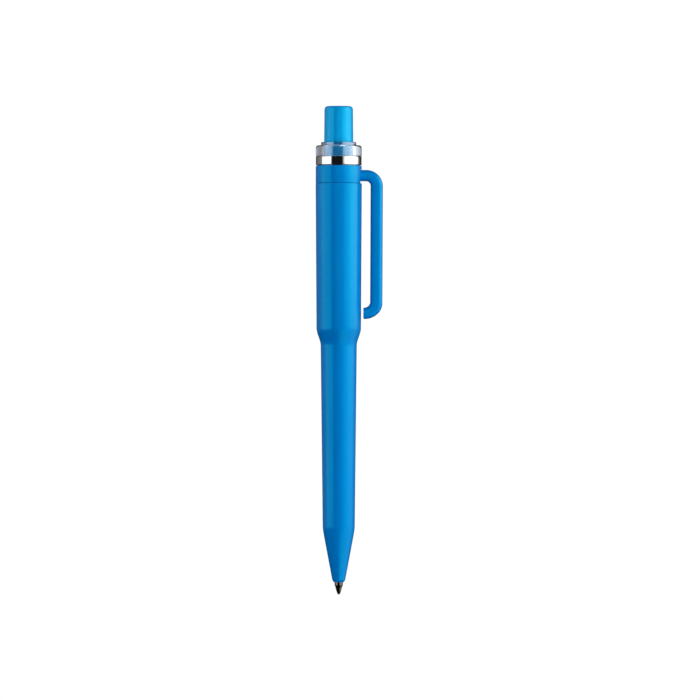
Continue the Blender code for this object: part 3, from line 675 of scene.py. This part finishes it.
def make_button():
    low, high = box_mm("push_button")
    outline = bend(
        (BUTTON_TOP_R - BUTTON_ROUND, high.z), (BUTTON_TOP_R, high.z),
        (BUTTON_TOP_R, high.z - BUTTON_ROUND), BUTTON_STEPS,
    )
    outline += [
        (high.y, BUTTON_TAPER_Z), (high.y, low.z + BUTTON_EDGE), (high.y - BUTTON_EDGE, low.z),
        (BUTTON_BORE_R, low.z), (BUTTON_BORE_R, BUTTON_ROOF_Z),
    ]
    to_piece(
        turned_mesh(outline, ring=False), "smooth_button", "push_button",
        "push_button", moulded_blue("button_blue", BUTTON_BLUE, BUTTON_TINT),
    )


def make_clear_collar():
    low, high = box_mm("clear_collar")
    spigot_bore_r, spigot_r = COLLAR_SPIGOT_R
    recess_z = COLLAR_FOOT_Z - COLLAR_RECESS
    outline = [
        (COLLAR_BORE_R, high.z, COLLAR_EDGE), (COLLAR_STEP_R, high.z, COLLAR_STEP_ROUND),
        (COLLAR_STEP_R, COLLAR_SHOULDER_Z, COLLAR_EDGE),
        (high.y, COLLAR_SHOULDER_Z, COLLAR_SHOULDER_ROUND),
        (high.y, COLLAR_FOOT_Z, COLLAR_FOOT_ROUND), (spigot_r, COLLAR_FOOT_Z),
        (spigot_r, low.z, COLLAR_EDGE), (spigot_bore_r, low.z, COLLAR_EDGE),
        (spigot_bore_r, recess_z), (COLLAR_BORE_R, recess_z),
    ]
    to_piece(
        turned_mesh(rounded(outline, COLLAR_STEPS)), "smooth_clear_collar", "top_unit",
        "clear_collar", clear_plastic(),
    )


def ring_mesh(node, upper_edge, lower_edge):
    low, high = box_mm(node)
    outline = [
        (RING_BORE_R, high.z), (high.y, high.z, upper_edge), (high.y, low.z, lower_edge),
        (RING_BORE_R, low.z),
    ]
    return turned_mesh(rounded(outline, RING_STEPS))


def make_chrome_ring():
    to_piece(
        ring_mesh("chrome_ring", CHROME_EDGE, CHROME_EDGE), "smooth_chrome_ring", "top_unit",
        "chrome_ring", polished_chrome(),
    )


# ------------------------------------------------------------------ clip and its ring

CLIP_RING_EDGE = 0.2
CLIP_RING_SEAM_EDGE = 0.08
SLOT_LENGTH = 4.0
SLOT_OVERRUN = 1.0
SLOT_GAP = 0.12

CLIP_DEPTH = 4.2
CLIP_SQUARENESS = 0.68  # 1 gives an oval section and 0 a rectangular one
CLIP_SECTION_POINTS = 48
CLIP_ROOT_X = (5.4, 6.6)
CLIP_ROOT_BOTTOM_Z = 120.0
CLIP_INNER_X = 9.25
CLIP_INNER_ARCH_R = 1.3
CLIP_OUTER_ARCH_R = 4.8
CLIP_ARCH_STEPS = 20
CLIP_TAPER = 0.14       # how much nearer the axis the arm's outer side is at its lower end

FOOT_CURVE_X = 7.42
FOOT_INNER_Z = 85.0
FOOT_INNER_R = 1.7
FOOT_OUTER_Z = 84.6
FOOT_STEPS = 20
FOOT_NECK = (7.25, 83.27, 0.1)      # x, top, and the bottom's rise above the clip's lowest point
FOOT_END = (7.13, 83.2, 0.35)

CLIP_HEAD_R = (5.2, 5.55)
CLIP_HEAD_Z = (120.3, 123.0)
CLIP_HEAD_HALF_ANGLE = math.radians(32)
CLIP_HEAD_STEPS = 32


def slot_cutter():
    top = box_mm("clip")[1].z + SLOT_GAP
    bottom = box_mm("clip_ring")[0].z - SLOT_OVERRUN
    size = Vector((SLOT_LENGTH, CLIP_DEPTH + 2 * SLOT_GAP, top - bottom))
    bm = bmesh.new()
    bmesh.ops.create_cube(bm, size=1.0)
    bmesh.ops.scale(bm, verts=bm.verts, vec=size)
    bmesh.ops.translate(bm, verts=bm.verts, vec=(RING_BORE_R, 0.0, (top + bottom) / 2))
    return to_object(bm, "slot_cutter")


def make_clip_ring():
    """The ring that carries the clip, with a slot for the clip's root."""
    ring = to_piece(
        ring_mesh("clip_ring", CLIP_RING_EDGE, CLIP_RING_SEAM_EDGE), "smooth_clip_ring",
        "clip_band", "clip_ring", moulded_blue("ring_blue", BLUE),
    )
    apply_boolean(ring, slot_cutter(), "DIFFERENCE")


def quarter_turn(steps):
    """The sine and cosine of evenly spaced angles from 0 to 90 degrees."""
    for step in range(steps + 1):
        turn = math.pi / 2 * step / steps
        yield math.sin(turn), math.cos(turn)


def clip_stations():
    """Pairs of points on the clip's inner and outer side, from its root to its foot."""
    low, high = box_mm("clip")
    bottom = CLIP_ROOT_BOTTOM_Z
    stations = [((x, bottom), (x, high.z)) for x in CLIP_ROOT_X]
    for along, up in quarter_turn(CLIP_ARCH_STEPS):
        stations.append((
            (CLIP_INNER_X - CLIP_INNER_ARCH_R * (1 - along), bottom - CLIP_INNER_ARCH_R * (1 - up)),
            (high.x - CLIP_OUTER_ARCH_R * (1 - along), high.z - CLIP_OUTER_ARCH_R * (1 - up)),
        ))
    reach = high.x - CLIP_TAPER - FOOT_CURVE_X
    for down, along in quarter_turn(FOOT_STEPS):
        stations.append((
            (FOOT_CURVE_X + FOOT_INNER_R * along, FOOT_INNER_Z - FOOT_INNER_R * down),
            (FOOT_CURVE_X + reach * along, FOOT_OUTER_Z - (FOOT_OUTER_Z - low.z) * down),
        ))
    for x, top, rise in (FOOT_NECK, FOOT_END):
        stations.append(((x, top), (x, low.z + rise)))
    return stations


def clip_section(inner, outer):
    """Points round the clip's section between an inner and an outer point."""
    middle = Vector((inner[0] + outer[0], 0.0, inner[1] + outer[1])) / 2
    reach = Vector((outer[0], 0.0, outer[1])) - middle
    points = []
    for side in range(CLIP_SECTION_POINTS):
        angle = math.tau * (side + 0.5) / CLIP_SECTION_POINTS
        across = math.copysign(abs(math.cos(angle)) ** CLIP_SQUARENESS, math.cos(angle))
        depth = math.copysign(abs(math.sin(angle)) ** CLIP_SQUARENESS, math.sin(angle))
        points.append(middle + reach * across + Vector((0.0, CLIP_DEPTH / 2 * depth, 0.0)))
    return points


def clip_head():
    """The curved plate inside the ring that holds the clip's root."""
    inner_r, outer_r = CLIP_HEAD_R
    bottom, top = CLIP_HEAD_Z
    corners = [(inner_r, bottom), (outer_r, bottom), (outer_r, top), (inner_r, top)]
    bm = bmesh.new()
    face = bm.faces.new([bm.verts.new((radius, 0.0, height)) for radius, height in corners])
    turn = Matrix.Rotation(-CLIP_HEAD_HALF_ANGLE, 3, "Z")
    bmesh.ops.rotate(bm, verts=bm.verts, cent=(0, 0, 0), matrix=turn)
    bmesh.ops.spin(
        bm, geom=[face], cent=(0, 0, 0), axis=(0, 0, 1), angle=2 * CLIP_HEAD_HALF_ANGLE,
        steps=CLIP_HEAD_STEPS,
    )
    bmesh.ops.recalc_face_normals(bm, faces=bm.faces)
    return to_object(bm, "clip_head")


def make_clip():
    bm = bmesh.new()
    rings = []
    for inner, outer in clip_stations():
        rings.append([bm.verts.new(point) for point in clip_section(inner, outer)])
    for ring, following in zip(rings, rings[1:]):
        for side in range(len(ring)):
            bm.faces.new((ring[side - 1], ring[side], following[side], following[side - 1]))
    bm.faces.new(rings[0])
    bm.faces.new(rings[-1])
    clip = to_piece(
        bm, "smooth_clip", "clip", "clip", moulded_blue("clip_blue", BLUE),
    )
    apply_boolean(clip, clip_head(), "UNION")


# ------------------------------------------------------------------ refill point

FEED_R = 0.4
FEED_BOTTOM_Z = 1.0
THROAT_R = 0.2
THROAT_TOP_Z = 0.85
SOCKET_R = 0.38
SOCKET_STEPS = 16
BALL_STEPS = 32

TIP_SPIGOT_R = 1.0
TIP_SHANK_TOP = (8.0, 0.1)          # height and rounding
TIP_SHANK_BOTTOM = (2.66, 0.06)
TIP_CHAMFER = (1.05, 2.42, 0.1)     # radius, height and rounding
TIP_WAIST = (0.7, 1.1, 0.12)
TIP_LIP = (0.4, 0.2, 0.03)
TIP_LIP_R = (0.341, 0.37)
TIP_STEPS = 4


def ball_middle():
    low, high = box_mm("writing_ball")
    return (low.z + high.z) / 2


def make_refill_tip():
    low, high = box_mm("refill_tip")
    lip_inner_r, lip_outer_r = TIP_LIP_R
    outline = [
        (FEED_R, high.z), (TIP_SPIGOT_R, high.z), (TIP_SPIGOT_R, TIP_SHANK_TOP[0]),
        (high.y, *TIP_SHANK_TOP), (high.y, *TIP_SHANK_BOTTOM), TIP_CHAMFER, TIP_WAIST, TIP_LIP,
        (lip_outer_r, low.z), (lip_inner_r, low.z),
    ]
    middle = ball_middle()
    start = math.acos((low.z - middle) / SOCKET_R)
    end = math.asin(THROAT_R / SOCKET_R)
    for step in range(1, SOCKET_STEPS + 1):
        angle = start + (end - start) * step / SOCKET_STEPS
        outline.append((SOCKET_R * math.sin(angle), middle + SOCKET_R * math.cos(angle)))
    outline += [(THROAT_R, THROAT_TOP_Z), (FEED_R, FEED_BOTTOM_Z)]
    to_piece(
        turned_mesh(rounded(outline, TIP_STEPS), sides=POINT_SIDES), "smooth_refill_tip",
        "refill", "refill_tip",
        turned_metal("tip_nickel_silver", (0.33, 0.3, 0.27), 0.12),
    )


def make_ball():
    high = box_mm("writing_ball")[1]
    middle = ball_middle()
    radius = high.y
    first = math.acos((high.z - middle) / radius)
    outline = []
    for step in range(BALL_STEPS + 1):
        angle = first + (math.pi - 2 * first) * step / BALL_STEPS
        outline.append((radius * math.sin(angle), middle + radius * math.cos(angle)))
    to_piece(
        turned_mesh(outline, ring=False, sides=POINT_SIDES), "smooth_ball", "ball",
        "writing_ball", turned_metal("ball_carbide", (0.3, 0.3, 0.32), 0.2),
    )


# ------------------------------------------------------------------ return spring

SPRING_WIRE_R = 0.2
SPRING_WIRE_ROUNDNESS = 4
SPRING_R = 2.0
SPRING_END_TURNS = 1.25
SPRING_ACTIVE_TURNS = 5.5
SPRING_END_PITCH = 0.45
SPRING_POINTS_PER_TURN = 48


def spring_rise(turn, active_pitch):
    """How high the wire is above its start: close turns at both ends, and open ones between."""
    after_start = max(turn - SPRING_END_TURNS, 0.0)
    after_active = max(after_start - SPRING_ACTIVE_TURNS, 0.0)
    end_turns = turn - after_start + after_active
    return end_turns * SPRING_END_PITCH + (after_start - after_active) * active_pitch


def spring_curve(bottom, top):
    turns = 2 * SPRING_END_TURNS + SPRING_ACTIVE_TURNS
    end_rise = SPRING_END_TURNS * SPRING_END_PITCH
    active_pitch = (top - bottom - 2 * end_rise) / SPRING_ACTIVE_TURNS
    curve = bpy.data.curves.new("smooth_spring", "CURVE")
    curve.dimensions = "3D"
    curve.bevel_depth = SPRING_WIRE_R * MM
    curve.bevel_resolution = SPRING_WIRE_ROUNDNESS
    curve.use_fill_caps = True
    wire = curve.splines.new("POLY")
    count = round(turns * SPRING_POINTS_PER_TURN)
    wire.points.add(count)
    for number, point in enumerate(wire.points):
        turn = turns * number / count
        height = bottom + spring_rise(turn, active_pitch)
        x = SPRING_R * math.cos(math.tau * turn)
        y = SPRING_R * math.sin(math.tau * turn)
        point.co = (x * MM, y * MM, height * MM, 1.0)
    return curve


def make_spring():
    low, high = box_mm("return_spring")
    curve = spring_curve(low.z + SPRING_WIRE_R, high.z - SPRING_WIRE_R)
    holder = bpy.data.objects.new("spring_curve", curve)
    bpy.context.scene.collection.objects.link(holder)
    bpy.context.view_layer.update()
    graph = bpy.context.evaluated_depsgraph_get()
    mesh = bpy.data.meshes.new_from_object(holder.evaluated_get(graph))
    bpy.data.objects.remove(holder, do_unlink=True)
    mesh.shade_smooth()
    mesh.materials.clear()
    mesh.materials.append(turned_metal("spring_steel", (0.6, 0.6, 0.62), 0.24))
    spring = bpy.data.objects.new("smooth_spring", mesh)
    bpy.context.scene.collection.objects.link(spring)
    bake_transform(spring)
    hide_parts("return_spring")


# ------------------------------------------------------------------ click mechanism

FACETS = 32             # equal parts of a turn that grooves, ramps and teeth are counted in
INDEX_STEPS = 4         # grooves in the sleeve, and ribs on what runs in them
GROOVE_REACH = 1        # facets on each side of a groove's middle that lie in it
GROOVE_R = 4.05
RAMP_FACETS = 3
RAMP_RISE = 0.2         # from one facet to the next
GUIDE_BORE_R = 3.15
GUIDE_END_Z = 104.0
GUIDE_STOP_Z = 117.3
CORE_R = 3.0
RIB_R = 3.85
RIB_SLOPE = 0.3
CROWN_TEETH = 8
CROWN_DEPTH = 0.5

SLEEVE_BODY_R = 4.9
SLEEVE_NECK_R = 5.0
SLEEVE_NECK_ROUND = 0.1
SLEEVE_WELL_R = 4.4
SLEEVE_WELL_Z = 119.5
BEAD_TOP_Z = 119.3
BEAD_HEIGHT = 0.4
BEAD_SLOPE = 0.4
BEAD_ROUND = 0.1
BEAD_STEPS = 4

THRUST_BORE_R = 1.9
THRUST_EDGE = 0.2
THRUST_RIB_Z = (106.5, 112.0)
THRUST_CROWN_Z = 104.0

ROTOR_PIN_R = 1.7
ROTOR_EDGE = 0.3
ROTOR_CROWN_Z = 103.4
ROTOR_RIB_Z = (100.7, 103.15)


def between_facets(rule):
    """A rule for whole facets becomes one for any angle."""
    def at_angle(angle, radius, height):
        place = angle / math.tau * FACETS
        facet = math.floor(place + NEAR)
        share = max(place - facet, 0.0)
        first = rule(facet % FACETS, radius, height)
        second = rule((facet + 1) % FACETS, radius, height)
        return tuple(a + (b - a) * share for a, b in zip(first, second))
    return at_angle


def groove_place(facet):
    """Facet number counted from the middle of the nearest groove."""
    per_step = FACETS // INDEX_STEPS
    place = facet % per_step
    return place if place <= per_step // 2 else place - per_step


def in_groove(facet):
    return abs(groove_place(facet)) <= GROOVE_REACH


def latch_ramp(facet):
    per_step = FACETS // INDEX_STEPS
    if in_groove(facet):
        return 0.0
    return (facet % per_step - GROOVE_REACH - 1) % RAMP_FACETS * RAMP_RISE


def crown_wave(facet):
    per_tooth = FACETS // CROWN_TEETH
    place = facet % per_tooth
    return CROWN_DEPTH * min(place, per_tooth - place) / (per_tooth / 2)


def rib_radius(facet, radius):
    """A rib point stays out at the rib's crest only in line with a groove."""
    return CORE_R if radius > CORE_R + NEAR and not in_groove(facet) else radius


def guide_rule(facet, radius, height):
    at_end = abs(height - GUIDE_END_Z) < NEAR
    at_stop = abs(height - GUIDE_STOP_Z) < NEAR
    if at_end and in_groove(facet):
        return GROOVE_R, height
    if at_end:
        return radius, height + latch_ramp(facet)
    if at_stop and radius > GUIDE_BORE_R + NEAR and not in_groove(facet):
        return GUIDE_BORE_R, height
    return radius, height


def sleeve_rule(angle, radius, height):
    if in_thread(radius, height, THREAD_CORE_R):
        wave, fade = thread_wave(angle, height)
        return radius + THREAD_DEPTH * wave * fade, height
    return between_facets(guide_rule)(angle, radius, height)


def make_guide_sleeve():
    low, high = box_mm("guide_sleeve")
    bead_bottom = BEAD_TOP_Z - BEAD_HEIGHT
    outline = rounded([
        (SLEEVE_NECK_R, high.z, SLEEVE_NECK_ROUND), (SLEEVE_NECK_R, BEAD_TOP_Z),
        (high.y, BEAD_TOP_Z, BEAD_ROUND), (high.y, bead_bottom, BEAD_ROUND),
        (THREAD_CORE_R, bead_bottom - BEAD_SLOPE),
    ], BEAD_STEPS)
    outline += [(THREAD_CORE_R, height) for height in reversed(thread_heights())]
    outline += [
        (SLEEVE_BODY_R, THREAD_BOTTOM_Z - THREAD_RUNOUT), (SLEEVE_BODY_R, low.z),
        (GROOVE_R, low.z), (GROOVE_R, GUIDE_END_Z), (GUIDE_BORE_R, GUIDE_END_Z),
        (GROOVE_R, GUIDE_STOP_Z), (GUIDE_BORE_R, GUIDE_STOP_Z), (GUIDE_BORE_R, SLEEVE_WELL_Z),
        (SLEEVE_WELL_R, SLEEVE_WELL_Z), (SLEEVE_WELL_R, high.z),
    ]
    to_piece(
        turned_mesh(outline, rule=sleeve_rule), "smooth_guide_sleeve", "top_unit",
        "guide_sleeve", inner_plastic("sleeve_white", (0.75, 0.76, 0.76)),
    )


def thrust_rule(facet, radius, height):
    if height < THRUST_CROWN_Z + NEAR:
        return radius, height + crown_wave(facet)
    return rib_radius(facet, radius), height


def make_thrust_tube():
    high = box_mm("thrust_tube")[1]
    rib_bottom, rib_top = THRUST_RIB_Z
    outline = [
        (CORE_R - THRUST_EDGE, high.z), (CORE_R, high.z - THRUST_EDGE),
        (CORE_R, rib_top + RIB_SLOPE), (RIB_R, rib_top), (RIB_R, rib_bottom),
        (CORE_R, rib_bottom - RIB_SLOPE), (CORE_R, THRUST_CROWN_Z),
        (THRUST_BORE_R, THRUST_CROWN_Z), (THRUST_BORE_R, high.z),
    ]
    to_piece(
        turned_mesh(outline, rule=between_facets(thrust_rule)), "smooth_thrust_tube",
        "push_button", "thrust_tube",
        inner_plastic("thrust_white", (0.7, 0.72, 0.73)),
    )


def rotor_rule(facet, radius, height):
    if abs(height - ROTOR_CROWN_Z) < NEAR:
        return radius, height + crown_wave(facet)
    if abs(height - ROTOR_RIB_Z[1]) < NEAR and in_groove(facet):
        return radius, height + (groove_place(facet) + GROOVE_REACH) * RAMP_RISE
    return rib_radius(facet, radius), height


def make_cam_rotor():
    low, high = box_mm("cam_rotor")
    rib_bottom, rib_top = ROTOR_RIB_Z
    outline = [
        (ROTOR_PIN_R - ROTOR_EDGE, high.z), (ROTOR_PIN_R, high.z - ROTOR_EDGE),
        (ROTOR_PIN_R, ROTOR_CROWN_Z), (CORE_R, ROTOR_CROWN_Z), (CORE_R, rib_top),
        (RIB_R, rib_top), (RIB_R, rib_bottom), (CORE_R, rib_bottom),
        (CORE_R, low.z + ROTOR_EDGE), (CORE_R - ROTOR_EDGE, low.z),
    ]
    to_piece(
        turned_mesh(outline, ring=False, rule=between_facets(rotor_rule)), "smooth_cam_rotor",
        "cam_rotor", "cam_rotor",
        inner_plastic("rotor_acetal", (0.5, 0.56, 0.64), 0.38),
    )


# ------------------------------------------------------------------ rest of the refill

HOLDER_R = 1.6
HOLDER_CHAMFER = 0.25
HOLDER_SOCKET_R = 1.1
HOLDER_SOCKET_TOP_Z = 12.3
HOLDER_DUCT_R = 0.8
HOLDER_FLANGE_R = 2.7
HOLDER_FLANGE_Z = (23.3, 24.0)
HOLDER_SPIGOT_R = 2.45
HOLDER_SPIGOT_EDGE = 0.2
TUBE_R = 3.0
TUBE_BORE_R = 2.55
REFILL_EDGE = 0.08
REFILL_STEPS = 4
PLUG_VENT_R = 0.4
PLUG_HEAD_Z = 93.3
PLUG_HEAD_ROUND = 0.4
PLUG_HEAD_EDGE = 0.1
PLUG_SPIGOT_R = 2.45
PLUG_SPIGOT_ROUND = 0.3
PLUG_STEPS = 6
INK_R = 2.5
INK_BOTTOM_Z = 29.3     # where the ink narrows into the holder
INK_DUCT_R = 0.7
INK_DUCT_BOTTOM_Z = 12.3
INK_FEED_R = 0.3


def holder_outline():
    low, high = box_mm("tip_holder")
    flange_bottom, flange_top = HOLDER_FLANGE_Z
    return rounded([
        (HOLDER_DUCT_R, high.z), (HOLDER_SPIGOT_R - HOLDER_SPIGOT_EDGE, high.z),
        (HOLDER_SPIGOT_R, high.z - HOLDER_SPIGOT_EDGE), (HOLDER_SPIGOT_R, flange_top),
        (HOLDER_FLANGE_R, flange_top, REFILL_EDGE), (HOLDER_FLANGE_R, flange_bottom, REFILL_EDGE),
        (HOLDER_R, flange_bottom), (HOLDER_R, low.z + HOLDER_CHAMFER, REFILL_EDGE),
        (HOLDER_R - HOLDER_CHAMFER, low.z), (HOLDER_SOCKET_R, low.z),
        (HOLDER_SOCKET_R, HOLDER_SOCKET_TOP_Z), (HOLDER_DUCT_R, HOLDER_SOCKET_TOP_Z),
    ], REFILL_STEPS)


def tube_outline():
    low, high = box_mm("refill_tube")
    return rounded([
        (TUBE_BORE_R, high.z, REFILL_EDGE), (TUBE_R, high.z, REFILL_EDGE),
        (TUBE_R, low.z, REFILL_EDGE), (TUBE_BORE_R, low.z, REFILL_EDGE),
    ], REFILL_STEPS)


def plug_outline():
    low, high = box_mm("refill_plug")
    return rounded([
        (PLUG_VENT_R, high.z), (TUBE_R, high.z, PLUG_HEAD_ROUND),
        (TUBE_R, PLUG_HEAD_Z, PLUG_HEAD_EDGE), (PLUG_SPIGOT_R, PLUG_HEAD_Z),
        (PLUG_SPIGOT_R, low.z, PLUG_SPIGOT_ROUND), (PLUG_VENT_R, low.z),
    ], PLUG_STEPS)


def ink_outline():
    low, high = box_mm("ink_column")
    return [
        (INK_R, high.z), (INK_R, INK_BOTTOM_Z), (INK_DUCT_R, INK_BOTTOM_Z),
        (INK_DUCT_R, INK_DUCT_BOTTOM_Z), (INK_FEED_R, INK_DUCT_BOTTOM_Z), (INK_FEED_R, low.z),
    ]


def make_refill():
    """The refill's pieces behind its point: holder, tube, end plug and ink."""
    pieces = (
        ("tip_holder", holder_outline(), True, "holder_brass",
         turned_metal("holder_brass", (0.78, 0.57, 0.28), 0.28)),
        ("refill_tube", tube_outline(), True, "tube_steel",
         turned_metal("tube_steel", (0.62, 0.62, 0.64), 0.3, ring_mm=0.4)),
        ("refill_plug", plug_outline(), True, "plug_plastic",
         inner_plastic("plug_blue", (0.01, 0.05, 0.3))),
        ("ink_column", ink_outline(), False, "ink",
         inner_plastic("blue_ink", (0.002, 0.006, 0.09), 0.2)),
    )
    for node, outline, ring, slot, finish in pieces:
        bm = turned_mesh(outline, ring=ring, sides=REFILL_SIDES)
        to_piece(bm, "smooth_" + node, "refill", node, finish)


make_studio()
make_barrel()
make_button()
make_clear_collar()
make_chrome_ring()
make_clip_ring()
make_clip()
make_refill_tip()
make_ball()
make_spring()
make_guide_sleeve()
make_thrust_tube()
make_cam_rotor()
make_refill()
